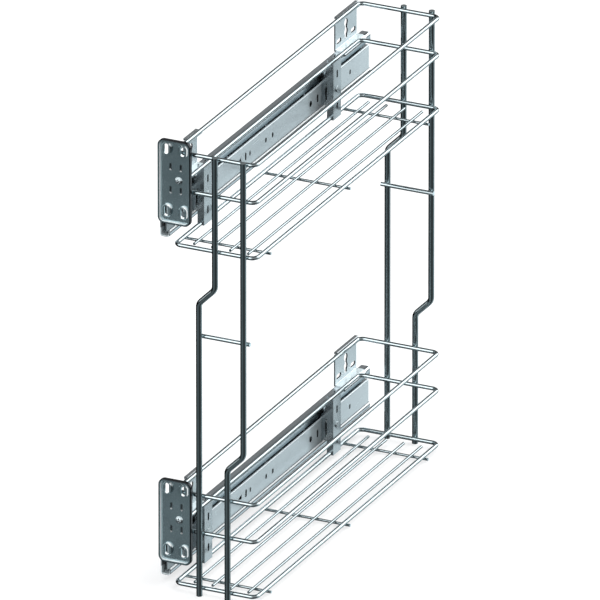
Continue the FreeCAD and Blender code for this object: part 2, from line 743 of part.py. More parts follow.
# Uprights: a channel whose flanges are notched for two hoop wires and widened to reach the slide.
def upright(unit, z, side, at):
    label = "%s_%s_upright" % (unit, side)
    inside = upright_face - upright_sheet
    flange_x = upright_face - upright_flange
    foot_x = inner_plane + mate_gap
    top = middle_z + upright_horn
    low = bottom_z - upright_foot
    body = new_body(label, 0, front + at, z)
    sketch = new_sketch(body, "XZ_Plane", label + "_side")
    corners = [(upright_face, low, None), (upright_face, top, None), (flange_x, top, None),
               (flange_x, foot_top + foot_taper, None), (foot_x, foot_top, None), (foot_x, -foot_low, None),
               (flange_x, -foot_low, None), (flange_x, low, None)]
    draw_outline(sketch, rounded(corners))
    pad(body, sketch, upright_wide, label + "_block", backwards=True)
    hollow = new_sketch(body, "XZ_Plane", label + "_hollow", offset=-upright_sheet)
    past_low, past_top, past_foot = low - overcut, top + overcut, foot_x - overcut
    inner = [(inside, past_low, None), (inside, past_top, None), (past_foot, past_top, None),
             (past_foot, foot_top, None), (foot_x + upright_sheet, foot_top, None),
             (foot_x + upright_sheet, -foot_low, None), (past_foot, -foot_low, None),
             (past_foot, past_low, None)]
    draw_outline(hollow, rounded(inner))
    cut_depth(body, hollow, upright_wide - 2 * upright_sheet, label + "_hollowed")
    lower = new_sketch(body, "XZ_Plane", label + "_web_top")
    web_top = middle_z + upright_top
    past_face = upright_face + overcut
    draw_outline(lower, rounded([(left_wire, web_top, None), (past_face, web_top, None),
                                 (past_face, past_top, None), (left_wire, past_top, None)]))
    cut_through(body, lower, label + "_web_lowered")
    notch = new_sketch(body, "XZ_Plane", label + "_notches")
    wire = hoop_wire / 2 + wire_play
    draw_circle(notch, (left_wire, bottom_z), wire)
    cut_through(body, notch, label + "_wire_hole")
    mouth = new_sketch(body, "XZ_Plane", label + "_mouth")
    draw_outline(mouth, [((left_wire - wire, middle_z), ((left_wire, middle_z), True)),
                         ((left_wire + wire, middle_z), None),
                         ((left_wire + wire, past_top), None), ((left_wire - wire, past_top), None)])
    cut_through(body, mouth, label + "_wire_mouth")
    slots = new_sketch(body, "YZ_Plane", label + "_slots", offset=upright_face)
    middle = upright_wide / 2
    draw_slot(slots, (middle, slot_high), slot_long, slot_wide)
    draw_slot(slots, (middle, -slot_low), slot_long, slot_wide)
    cut_depth(body, slots, upright_sheet + overcut, label + "_slotted")
    slit = new_sketch(body, "XZ_Plane", label + "_slit")
    slit_x = flange_x - slit_wide / 2
    draw_slot(slit, (slit_x, slit_rise), slit_long, slit_wide)
    cut_depth(body, slit, upright_sheet + overcut, label + "_slitted")
    seats = new_sketch(body, "YZ_Plane", label + "_rivet_seat", offset=foot_x + upright_sheet + overcut)
    draw_circle(seats, (middle, -foot_rivet_low), rivet_size / 2 + rivet_play)
    cut_depth(body, seats, upright_sheet + 2 * overcut, label + "_rivet_hole")
    through = new_sketch(body, "YZ_Plane", label + "_web_rivet")
    draw_circle(through, (middle, web_rivet_high), rivet_size / 2 + rivet_play)
    cut_through(body, through, label + "_web_drilled")
    return body


# A rivet through two sheets: shank and two low heads, along X or Z.
def rivet(name, axis, x, y, z, grip):
    parts = []
    start = {"x": (x - rivet_head, y, z), "z": (x, y, z - rivet_head)}[axis]
    far = {"x": (x + grip, y, z), "z": (x, y, z + grip)}[axis]
    parts.append(cylinder(name + "_shank", axis, rivet_size / 2, grip + 2 * rivet_head, *start))
    parts.append(cylinder(name + "_tail", axis, rivet_head_size / 2, rivet_head, *start))
    parts.append(cylinder(name + "_head", axis, rivet_head_size / 2, rivet_head, *far))
    return fuse(name, parts)


def upright_rivets(unit, z):
    things = []
    for i, (y, height) in enumerate(upright_rivet_places()):
        grip = rail_sheet + mate_gap + upright_sheet
        if i < 2:
            grip = upright_face - inner_plane + rail_sheet
        name = "%s_upright_rivet_%d" % (unit, i + 1)
        things.append(rivet(name, "x", inner_plane - rail_sheet, front + y, z + height, grip))
    return group(unit + "_upright_rivets", things)


def carrier_rivets(unit, z):
    things = []
    for i, (y, height) in enumerate(carrier_rivet_places()):
        grip = rail_sheet + mate_gap + carrier_sheet
        name = "%s_carrier_rivet_%d" % (unit, i + 1)
        things.append(rivet(name, "x", inner_plane - rail_sheet, front + y, z + height, grip))
    return group(unit + "_carrier_rivets", things)


# Door plate: a pressed dish whose rim and slotted bosses lie flat on the cabinet door.
def door_plate(unit, z):
    label = unit + "_door_plate"
    middle_x, middle_h = plate_wide / 2, plate_high / 2
    depth = plate_dish + plate_sheet
    body = new_body(label, plate_left, front - plate_face, z + plate_rise - middle_h)
    sketch = new_sketch(body, "XZ_Plane", label + "_outline")
    zero = as_size(0)
    corners = [(zero, zero), (plate_wide, zero), (plate_wide, plate_high), (zero, plate_high)]
    draw_outline(sketch, rounded([(x, y, plate_corner) for x, y in corners]))
    block = pad(body, sketch, depth, label + "_blank", backwards=True)
    soften(body, block, front_edges(block), "Fillet", plate_round, label + "_rolled_rim")
    dish = new_sketch(body, "XZ_Plane", label + "_dish")
    right, top = plate_wide - rim_wide, plate_high - rim_wide
    inset = [(rim_wide, rim_wide), (right, rim_wide), (right, top), (rim_wide, top)]
    draw_outline(dish, rounded([(x, y, plate_corner - rim_wide) for x, y in inset]))
    backs = new_sketch(body, "XZ_Plane", label + "_boss_backs", offset=-depth)
    slots = new_sketch(body, "XZ_Plane", label + "_slots")
    for across in (-1, 1):
        for up in (-1, 1):
            centre = (middle_x + door_slot_right + across * door_slot_across / 2,
                      middle_h + door_slot_up + up * door_slot_apart / 2)
            draw_slot(dish, centre, boss_long, boss_wide)
            draw_slot(backs, centre, boss_long - 2 * boss_wall, boss_wide - 2 * boss_wall)
            draw_slot(slots, centre, door_slot_long, door_slot_wide)
            small = (middle_x + small_right + across * small_across / 2,
                     middle_h + small_rise + up * small_apart / 2)
            draw_slot(slots, small, small_slot_long, small_slot_wide)
    screw_place = (middle_x + screw_right, middle_h + screw_up)
    draw_circle(slots, screw_place, screw_size / 2 + screw_play)
    pressed = cut_depth(body, dish, plate_dish, label + "_dished")
    soften(body, pressed, front_edges(pressed, rim_wide), "Chamfer", boss_slope, label + "_boss_edges")
    cut_depth(body, backs, plate_dish, label + "_boss_backs_hollowed", backwards=True)
    cut_through(body, slots, label + "_slotted")
    return body


# Edges in the front plane, or only those that stay further inside the outline than a margin.
def front_edges(feature, margin=None):
    near = 1e-4
    least = -near if margin is None else margin.value + near
    names = []
    for i, edge in enumerate(feature.Shape.Edges):
        box = edge.BoundBox
        sides = (box.XMin, plate_wide.value - box.XMax, box.ZMin, plate_high.value - box.ZMax)
        if box.YMax < near and min(sides) > least:
            names.append("Edge%d" % (i + 1))
    return names


def soften(body, base, edges, kind, size, name):
    feature = body.newObject("PartDesign::" + kind, name)
    feature.Base = (base, edges)
    measure = {"Fillet": "Radius", "Chamfer": "Size"}[kind]
    setattr(feature, measure, size.value)
    feature.setExpression(measure, size.text)
    doc.recompute()
    return feature


# Carrier: a leg on the inner rail, a neck that rises in front and a flange behind the door plate.
def door_carrier(unit, z):
    label = unit + "_door_carrier"
    face = -plate_face + plate_dish + plate_sheet + carrier_gap
    left = inner_plane + mate_gap
    right = plate_left + plate_wide - carrier_right
    body = new_body(label, 0, front, z)
    plan = new_sketch(body, "XY_Plane", label + "_plan", offset=-carrier_leg / 2)
    bend = carrier_bend
    corners = [(left, face, bend), (right, face, None), (right, face + carrier_sheet, None),
               (left + carrier_sheet, face + carrier_sheet, bend - carrier_sheet),
               (left + carrier_sheet, carrier_back, None), (left, carrier_back, None)]
    draw_outline(plan, rounded(corners))
    top = plate_rise + carrier_high / 2
    pad(body, plan, top + carrier_leg / 2, label + "_strip")
    side = new_sketch(body, "YZ_Plane", label + "_side")
    neck = face + carrier_neck
    rise = carrier_leg / 2
    tall = top + overcut
    past_back = carrier_back + overcut
    draw_outline(side, rounded([(neck, rise, carrier_bend), (past_back, rise, None),
                                (past_back, tall, None), (neck, tall, None)]))
    cut_through(body, side, label + "_shaped")
    relief = new_sketch(body, "XZ_Plane", label + "_flange_relief", offset=overcut - face)
    low = plate_rise - carrier_high / 2
    past_left, past_right, past_low = left - overcut, right + overcut, -rise - overcut
    draw_outline(relief, rounded([(past_left, past_low, None), (past_right, past_low, None),
                                  (past_right, low, None), (past_left, low, None)]))
    cut_depth(body, relief, carrier_bend + overcut, label + "_flange_cut")
    holes = new_sketch(body, "XZ_Plane", label + "_screw_hole")
    draw_circle(holes, (screw_x, screw_z), screw_size / 2 + screw_play)
    cut_through(body, holes, label + "_screw_drilled")
    seats = new_sketch(body, "YZ_Plane", label + "_rivet_holes", offset=left + carrier_sheet + overcut)
    for y, height in carrier_rivet_places():
        draw_circle(seats, (y, height), rivet_size / 2 + rivet_play)
    cut_depth(body, seats, carrier_sheet + 2 * overcut, label + "_rivet_drilled")
    return body


# The plate's screw: a domed head with a cross, turned about the Y axis.
screw_x = plate_left + plate_wide / 2 + screw_right
screw_z = plate_rise + screw_up


def plate_screw(unit, z):
    label = unit + "_plate_screw"
    zero = as_size(0)
    body = new_body(label, screw_x, front - plate_face + plate_dish, z + screw_z)
    half_head, half_shank = screw_head / 2, screw_size / 2
    dome = (half_head * half_head / screw_head_high + screw_head_high) / 2
    profile = new_sketch(body, "YZ_Plane", label + "_profile")
    draw_outline(profile, [((-screw_head_high, zero), None), ((screw_length, zero), None),
                           ((screw_length, half_shank), None), ((zero, half_shank), None),
                           ((zero, half_head), ((dome - screw_head_high, zero), True))])
    turned_screw = body.newObject("PartDesign::Revolution", label + "_turned")
    turned_screw.Profile = profile
    turned_screw.ReferenceAxis = (profile, ["H_Axis"])
    turned_screw.Angle = 360
    doc.recompute()
    cross = new_sketch(body, "XZ_Plane", label + "_cross", offset=screw_head_high)
    arm, half = screw_cross_long / 2, screw_cross_wide / 2
    corners = [(-arm, -half), (-half, -half), (-half, -arm), (half, -arm), (half, -half), (arm, -half),
               (arm, half), (half, half), (half, arm), (-half, arm), (-half, half), (-arm, half)]
    draw_outline(cross, rounded([(x, y, None) for x, y in corners]))
    cut_depth(body, cross, screw_cross_deep, label + "_cross_cut")
    return body


# The whole part
for unit, z in units.items():
    outer_rail(unit, z)
    wall_bracket(unit, z, "front", front_bracket_at, front_bracket_wide)
    wall_bracket(unit, z, "rear", rear_bracket_at, rear_bracket_wide)
    rear_buffer(unit, z)
    middle_rail(unit, z)
    ball_cage(unit, z, "outer", rail_sheet + cage_gap, outer_race)
    slide_balls(unit, z, "outer", outer_race)
    ball_cage(unit, z, "inner", middle_back + middle_sheet + cage_gap, inner_race)
    slide_balls(unit, z, "inner", inner_race)
    inner_rail(unit, z)
    upright(unit, z, "front", upright_at)
    upright(unit, z, "rear", upright_at + upright_span)
    upright_rivets(unit, z)
    for label, height in (("top", top_z), ("middle", middle_z), ("bottom", bottom_z)):
        hoop(unit, z, label, height)
    cross_wires(unit, z)
    floor_wires(unit, z)
    door_plate(unit, z)
    door_carrier(unit, z)
    carrier_rivets(unit, z)
    plate_screw(unit, z)
for side, y in (("front", front_post_y), ("rear", rear_post_y)):
    post(side, "left", y, left_post_at, left_jog_drop)
    post(side, "right", y, right_post_at, right_jog_drop)
rod_inset = (post_size + rod_size) / 2 + weld_gap
tie_rod("front", front_post_y + rod_inset)
tie_rod("rear", rear_post_y - rod_inset)

doc.recompute()
for thing in doc.Objects:
    if "Invalid" in thing.State or "Error" in thing.State:
        raise RuntimeError("failed: " + thing.Label)
os.makedirs("parts", exist_ok=True)
for body in bodies:
    shape = body.Shape
    if shape.isNull() or not shape.isValid():
        raise RuntimeError("bad shape: " + body.Label)
    shape.exportStep("parts/%s.step" % body.Label)
print(len(bodies), "nodes")
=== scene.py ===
# Looks of the two-tier pull-out organizer: finishes, bracket folds, weld beads, floor, light and camera.
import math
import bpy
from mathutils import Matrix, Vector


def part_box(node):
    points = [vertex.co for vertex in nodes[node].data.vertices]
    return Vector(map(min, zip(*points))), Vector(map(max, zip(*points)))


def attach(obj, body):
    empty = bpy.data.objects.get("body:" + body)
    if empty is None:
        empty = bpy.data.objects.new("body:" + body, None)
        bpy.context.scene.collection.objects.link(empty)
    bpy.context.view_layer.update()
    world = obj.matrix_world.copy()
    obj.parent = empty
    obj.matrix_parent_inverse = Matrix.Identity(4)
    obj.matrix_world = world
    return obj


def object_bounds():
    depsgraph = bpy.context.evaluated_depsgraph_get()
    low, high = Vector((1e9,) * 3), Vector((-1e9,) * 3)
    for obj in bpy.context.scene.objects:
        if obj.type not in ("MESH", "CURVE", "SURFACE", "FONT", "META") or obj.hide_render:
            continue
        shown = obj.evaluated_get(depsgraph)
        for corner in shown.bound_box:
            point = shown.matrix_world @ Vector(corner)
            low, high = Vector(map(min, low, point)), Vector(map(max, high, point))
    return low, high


bl_info = {
    "name": "Pull-out organizer looks",
    "version": (1, 0, 0),
    "blender": (4, 5, 0),
    "location": "View3D > Sidebar > Organizer",
    "description": "Dresses the packed pull-out cabinet organizer and sets its floor, light and camera",
    "category": "Object",
}

from collections import namedtuple

import bmesh
import bpy
from mathutils import Matrix, Vector

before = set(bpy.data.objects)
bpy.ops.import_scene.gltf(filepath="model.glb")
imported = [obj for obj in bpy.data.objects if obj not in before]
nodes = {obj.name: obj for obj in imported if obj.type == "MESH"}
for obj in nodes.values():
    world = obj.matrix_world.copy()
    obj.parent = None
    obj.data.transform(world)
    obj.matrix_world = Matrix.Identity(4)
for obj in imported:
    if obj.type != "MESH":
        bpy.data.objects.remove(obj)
cad_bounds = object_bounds()

UNITS = ("lower", "upper")
SIDES = ("front", "rear")
HANDS = ("left", "right")
HOOPS = ("top", "middle", "bottom")

# How much a grain is drawn out along each axis
EVEN = (1.0, 1.0, 1.0)
ROLLED_ALONG = (1.0, 0.04, 1.0)
ROLLED_UP = (1.0, 1.0, 0.04)
PRESSED_UP = (1.0, 1.0, 0.05)
DRAWN_ALONG = (1.0, 0.03, 1.0)
SCRATCHED = (1.0, 0.12, 0.5)

# How far a seed moves a noise along each axis
SEED_SHIFT = (1.0, 0.37, 0.71)

# Half the width of the soft edge of a mark, in metres
CRISP = 0.00015
SOFT = 0.0002
PRESSED = 0.00025
ROLLED = 0.0003
SMEARED = 0.0005

# Depth of a slide member's skin at its face and at its flanges, in metres
FACE_SKIN = 0.00025
FLANGE_SKIN = 0.00045


# Shader maths: a value wraps a socket, and arithmetic on it adds Math nodes.
class Value:
    def __init__(self, tree, socket):
        self.tree = tree
        self.socket = socket

    def math(self, operation, *others, clamp=False):
        values = {"_%d" % i: value for i, value in enumerate((self, *others))}
        return add_node(self.tree, "ShaderNodeMath", {"operation": operation, "use_clamp": clamp}, **values)

    def __add__(self, other):
        return self.math("ADD", other)

    def __radd__(self, other):
        return self.math("ADD", other)

    def __sub__(self, other):
        return self.math("SUBTRACT", other)

    def __rsub__(self, other):
        return self.math("MULTIPLY", -1.0) + other

    def __mul__(self, other):
        return self.math("MULTIPLY", other)

    def __rmul__(self, other):
        return self.math("MULTIPLY", other)

    def most(self, other):
        return self.math("MAXIMUM", other)

    def least(self, other):
        return self.math("MINIMUM", other)

    def unsigned(self):
        return self.math("ABSOLUTE")

    def clamped(self):
        return self.math("ADD", 0.0, clamp=True)

    def between(self, low, high):
        """Rises smoothly from 0 at low to 1 at high."""
        return add_node(self.tree, "ShaderNodeMapRange", {"interpolation_type": "SMOOTHSTEP"}, **{
            "Value": self, "From Min": low, "From Max": high})

    def past(self, edge, soft=SOFT):
        """0 before an edge and 1 past it."""
        return self.between(edge - soft, edge + soft)

    def within(self, low, high, soft=SOFT):
        """1 from low to high and 0 outside."""
        return self.past(low, soft) * (1.0 - self.past(high, soft))


def feed(tree, socket, value):
    if isinstance(value, Value):
        tree.links.new(value.socket, socket)
    elif isinstance(value, tuple) and socket.type == "RGBA":
        socket.default_value = (*value[:3], 1.0)
    else:
        socket.default_value = value


def add_node(tree, kind, settings=None, output=0, **sockets):
    """One output of a new node: its settings come first, then its inputs by name, or as _2 by number."""
    made = tree.nodes.new(kind)
    for name, value in (settings or {}).items():
        if name == "stops":
            set_stops(made.color_ramp, value)
        else:
            setattr(made, name, value)
    for name, value in sockets.items():
        feed(tree, made.inputs[int(name[1:])] if name[0] == "_" else made.inputs[name], value)
    return Value(tree, made.outputs[output]) if made.outputs else None


def set_stops(ramp, stops):
    while len(ramp.elements) < len(stops):
        ramp.elements.new(0.5)
    for stop, (place, colour) in zip(ramp.elements, stops):
        stop.position = place
        stop.color = (*colour, 1.0)


def mixed(factor, first, second):
    """One colour blended over another: sockets 6 and 7 and output 2 are the Mix node's colours."""
    return add_node(factor.tree, "ShaderNodeMix", {"data_type": "RGBA"}, 2, _0=factor, _6=first, _7=second)


def share_of(vector, which):
    return add_node(vector.tree, "ShaderNodeSeparateXYZ", output=which, Vector=vector)


def darker(colour, share):
    return tuple(c * share for c in colour)


# A finish is a material with object coordinates, a surface shader and its bump.
class Finish:
    def __init__(self, name):
        self.material = bpy.data.materials.new(name)
        self.material.use_nodes = True
        self.tree = self.material.node_tree
        self.shader = self.tree.nodes["Principled BSDF"]
        self.place = add_node(self.tree, "ShaderNodeTexCoord", output="Object")

    def moved(self, stretch, shift):
        return add_node(self.tree, "ShaderNodeMapping", Vector=self.place, Scale=stretch, Location=shift)

    def noise(self, scale, detail=3.0, stretch=EVEN, seed=0.0):
        place = self.moved(stretch, tuple(seed * share for share in SEED_SHIFT))
        return add_node(self.tree, "ShaderNodeTexNoise", Vector=place, Scale=scale, Detail=detail)

    def cell_edges(self, scale, stretch, seed):
        """Distance to the nearest edge between cells."""
        place = self.moved(stretch, (seed, seed, seed))
        return add_node(self.tree, "ShaderNodeTexVoronoi", {"feature": "DISTANCE_TO_EDGE"},
                        Vector=place, Scale=scale)

    def axis(self, which):
        """The place along an axis, in metres."""
        return share_of(self.place, which)

    def facing(self, which):
        """How much the surface faces along an axis, from -1 to 1."""
        return share_of(add_node(self.tree, "ShaderNodeTexCoord", output="Normal"), which)

    def span(self, which, low, high, soft=SOFT):
        """1 between two places along an axis, in metres."""
        return self.axis(which).within(low, high, soft)

    def spans(self, which, ranges):
        """1 within any of some ranges along an axis that don't overlap."""
        inside = 0.0
        for low, high in ranges:
            inside = self.span(which, low, high) + inside
        return inside

    def set(self, name, value):
        feed(self.tree, self.shader.inputs[name], value)

    def bump(self, height, strength, distance):
        raised = add_node(self.tree, "ShaderNodeBump", Strength=strength, Distance=distance, Height=height)
        self.set("Normal", raised)


# A mark on a plated sheet: a function that gives its mask for a finish, then its colour and metallic value.
Mark = namedtuple("Mark", "mask colour metallic")


def plated_sheet(name, light, dark, roughness, grain=ROLLED_ALONG, marks=()):
    """Zinc plated sheet: rolling grain, cloudy plating, fine pits and short handling scratches."""
    finish = Finish(name)
    clouds = finish.noise(scale=22.0, detail=4.0, seed=3.1)
    rolling = finish.noise(scale=900.0, detail=2.0, stretch=grain, seed=7.7)
    pits = finish.noise(scale=1500.0, detail=2.0, seed=1.3)
    lines = finish.cell_edges(scale=160.0, stretch=SCRATCHED, seed=5.0)
    broken = finish.noise(scale=120.0, detail=2.0, seed=11.0).between(0.55, 0.62)
    scratch = (1.0 - lines.between(0.0, 0.004)) * broken
    colour = mixed(clouds.between(0.35, 0.68), dark, light)
    colour = mixed((scratch * 0.12).clamped(), colour, tuple(min(1.0, c * 1.25) for c in light))
    metallic = 1.0
    for mark in marks:
        mask = mark.mask(finish)
        colour = mixed(mask, colour, mark.colour)
        metallic = metallic + (mark.metallic - metallic) * mask
    finish.set("Base Color", colour)
    finish.set("Metallic", metallic)
    finish.set("Roughness", roughness + (clouds - 0.5) * 0.10 + (rolling - 0.5) * 0.08 + scratch * 0.06)
    finish.bump(rolling * 0.6 + pits * 0.4 - scratch * 0.1, strength=0.02, distance=0.0002)
    return finish.material


def middle_height(box):
    low, high = box
    return (low[2] + high[2]) / 2


def from_middles(finish, boxes):
    """Height above or below the middle of the nearer box."""
    up = finish.axis("Z")
    nearest = 1.0
    for box in boxes:
        nearest = (up - middle_height(box)).unsigned().least(nearest)
    return nearest


def on_face(finish, face):
    """1 on the skin of a member at its face towards the middle of the cabinet."""
    return finish.axis("X").past(face - FACE_SKIN, CRISP)


def satin_web(low, high):
    """The flat web of a rolled member stays satin between its bright raceways."""
    return Mark(lambda finish: finish.span("X", low, high, ROLLED), (0.44, 0.50, 0.525), 0.6)


def painted_middle_shade(boxes, half):
    """Painted shade over the flat web between a middle member's raceways: near black, for the shade between
    the members.
    """
    def mask(finish):
        return 1.0 - from_middles(finish, boxes).past(half, SMEARED)
    return Mark(mask, (0.018, 0.019, 0.020), 0.3)


def painted_hole_shade(boxes):
    """Painted shade on the walls of holes and inside a channel: what doesn't face along X in the boxes."""
    def mask(finish):
        inside = 0.0
        for low, high in boxes:
            inside = finish.span("Y", low[1], high[1]) * finish.span("Z", low[2], high[2]) + inside
        return (inside * (1.0 - finish.facing("X").unsigned().between(0.3, 0.6))).clamped()
    return Mark(mask, (0.010, 0.011, 0.012), 0.0)


def lip_shade(boxes, face, sheets):
    """Painted shade on the lips of an outer member, darker towards the gap between the members."""
    def mask(finish):
        bend = from_middles(finish, boxes).between(sheets.lip_end, sheets.lip_start)
        return on_face(finish, face) * (1.0 - bend) * 0.85
    return Mark(mask, (0.09, 0.15, 0.18), 1.0)


def painted_race_light(boxes, face, sheets):
    """Painted light inside an outer member's raceways: a pale, satin colour where the cavity gets little
    light.
    """
    low, high = boxes[0]
    flange = (high[2] - low[2]) / 2 - FLANGE_SKIN
    lip_back = face - sheets.sheet

    def mask(finish):
        behind_lip = 1.0 - finish.axis("X").between(lip_back, lip_back + SOFT)
        away = from_middles(finish, boxes)
        return behind_lip * away.past(sheets.lip_end - sheets.sheet) * (1.0 - away.past(flange, CRISP))
    return Mark(mask, (0.74, 0.82, 0.85), 0.25)


def painted_lip_band(boxes, face, start, end, colour):
    """A painted band along an outer member's lower lip, in the colour given, between two heights from the
    slide's middle.
    """
    lower_halves = [(box[0][2], middle_height(box)) for box in boxes]

    def mask(finish):
        lip = on_face(finish, face) * finish.spans("Z", lower_halves)
        return lip * from_middles(finish, boxes).within(start, end)
    return Mark(mask, colour, 0.0)


def painted_lip_highlight_and_shade(boxes, face, sheets):
    """A painted highlight along the free edge of an outer member's lower lip, and painted shade below it."""
    start = sheets.lip_end - sheets.sheet
    border = sheets.lip_end + sheets.highlight_reach
    end = border + sheets.shade_band_height
    return (painted_lip_band(boxes, face, start, border, (0.93, 0.97, 0.98)),
            painted_lip_band(boxes, face, border, end, (0.010, 0.012, 0.014)))


def painted_top_light(flat, steep, heights=()):
    """Painted light on what faces up, within the heights if any are given."""
    def mask(finish):
        level = finish.spans("Z", heights) if heights else 1.0
        return finish.facing("Z").between(flat, steep) * level
    return Mark(mask, (0.64, 0.74, 0.77), 0.30)


def inset(box, along, below, above):
    """A box drawn in by a margin along Y and at its lower and upper ends."""
    low, high = box
    return (Vector((low[0], low[1] + along, low[2] + below)),
            Vector((high[0], high[1] - along, high[2] - above)))


def outside_plate(finish, box, corner):
    """How far a place lies outside the door plate's rounded outline, negative within it."""
    low, high = box
    beyond = []
    for which, i in (("X", 0), ("Z", 2)):
        middle, half = (low[i] + high[i]) / 2, (high[i] - low[i]) / 2
        beyond.append((finish.axis(which) - middle).unsigned() - (half - corner))
    across, up = beyond
    right, over = across.most(0.0), up.most(0.0)
    return (right * right + over * over).math("SQRT") + across.most(up).least(0.0) - corner


def plate_highlights_and_shade(box, sheets):
    """Painted highlights on the inner walls of the dish and the bosses, and a painted shade line round the
    plate's outer edge.
    """
    def painted_wall_highlights(finish):
        right, up = finish.facing("X"), finish.facing("Z")
        outside = outside_plate(finish, box, sheets.plate_corner)
        near_rim = outside.past(-sheets.plate_wall, PRESSED)
        wall = right.most(up - 0.4).between(0.3, 0.55) * near_rim
        boss = (right * 0.6 + up).between(0.62, 0.85) * (1.0 - near_rim)
        return (wall + boss) * (1.0 - outside.past(-sheets.plate_rim))

    def painted_edge_shade(finish):
        return outside_plate(finish, box, sheets.plate_corner).past(-sheets.edge_shade_width, PRESSED)
    return Mark(painted_wall_highlights, (0.93, 0.97, 0.98), 0.0), Mark(painted_edge_shade, (0.030, 0.034, 0.038), 1.0)


def chromed_wire(name, light, dark, roughness):
    """Bright chrome on drawn wire: faint drawing lines, haze, and tiny nodules in the plating."""
    finish = Finish(name)
    haze = finish.noise(scale=30.0, seed=2.2)
    drawn = finish.noise(scale=2600.0, detail=2.0, stretch=DRAWN_ALONG, seed=4.9)
    nodules = finish.noise(scale=700.0, detail=1.0, seed=8.4)
    dust = finish.noise(scale=240.0, detail=5.0, seed=6.1).between(0.60, 0.75)
    colour = mixed(haze.between(0.3, 0.7), dark, light)
    colour = mixed((dust * 0.18).clamped(), colour, (0.62, 0.62, 0.60))
    finish.set("Base Color", colour)
    finish.set("Metallic", 1.0)
    finish.set("Coat Weight", 0.15)
    finish.set("Roughness", roughness + (haze - 0.5) * 0.08 + dust * 0.10)
    finish.bump(drawn * 0.5 + nodules * 0.5, strength=0.01, distance=0.00015)
    return finish.material


def stop_rubber(name):
    """Moulded black rubber with a fine grain."""
    finish = Finish(name)
    grain = finish.noise(scale=1800.0, seed=2.0)
    bloom = finish.noise(scale=60.0, seed=9.0)
    finish.set("Base Color", mixed(bloom.between(0.4, 0.7), (0.018, 0.018, 0.019), (0.05, 0.05, 0.05)))
    finish.set("Roughness", 0.65 + bloom * 0.2)
    finish.bump(grain, strength=0.25, distance=0.0002)
    return finish.material


def weld_metal(name, light, dark):
    """Resistance weld under chrome: rippled, a little stained."""
    finish = Finish(name)
    ripple = finish.noise(scale=900.0, seed=1.0)
    stain = finish.noise(scale=160.0, seed=4.0)
    finish.set("Base Color", mixed(stain.between(0.35, 0.7), dark, light))
    finish.set("Metallic", 1.0)
    finish.set("Roughness", 0.28 + ripple * 0.25)
    finish.bump(ripple, strength=0.4, distance=0.0003)
    return finish.material


def pale_floor(name, colour, glow):
    """Plain pale studio floor with a barely uneven surface, lit from below like a light table."""
    finish = Finish(name)
    cloud = finish.noise(scale=3.0)
    lit_from_above = darker(colour, 1.0 - glow)
    finish.set("Base Color", mixed(cloud.between(0.2, 0.8), darker(lit_from_above, 0.99), lit_from_above))
    finish.set("Roughness", 0.85 + cloud * 0.1)
    finish.set("Emission Color", colour)
    finish.set("Emission Strength", glow)
    return finish.material


# Settings that a user may change
class OrganizerFinish(bpy.types.PropertyGroup):
    wire_light: bpy.props.FloatVectorProperty(
        name="Wire colour", description="Bright chrome of the basket wires", subtype="COLOR",
        default=(0.57, 0.66, 0.69), min=0.0, max=1.0)
    post_light: bpy.props.FloatVectorProperty(
        name="Post colour", description="Darker chrome of the four posts", subtype="COLOR",
        default=(0.36, 0.43, 0.45), min=0.0, max=1.0)
    sheet_light: bpy.props.FloatVectorProperty(
        name="Sheet colour", description="Zinc plating of brackets, uprights and carriers", subtype="COLOR",
        default=(0.56, 0.61, 0.635), min=0.0, max=1.0)
    plate_light: bpy.props.FloatVectorProperty(
        name="Door plate colour", description="Darker plating of the door plates", subtype="COLOR",
        default=(0.52, 0.65, 0.69), min=0.0, max=1.0)
    rail_light: bpy.props.FloatVectorProperty(
        name="Rail colour", description="Plated steel of the slide members", subtype="COLOR",
        default=(0.54, 0.60, 0.635), min=0.0, max=1.0)
    wire_roughness: bpy.props.FloatProperty(
        name="Wire roughness", description="How blurred the chrome reflects", default=0.09, min=0.0, max=1.0,
        subtype="FACTOR")
    post_roughness: bpy.props.FloatProperty(
        name="Post roughness", description="How blurred the posts reflect", default=0.11, min=0.0, max=1.0,
        subtype="FACTOR")
    sheet_roughness: bpy.props.FloatProperty(
        name="Sheet roughness", description="How satin the zinc plating is", default=0.24, min=0.0, max=1.0,
        subtype="FACTOR")


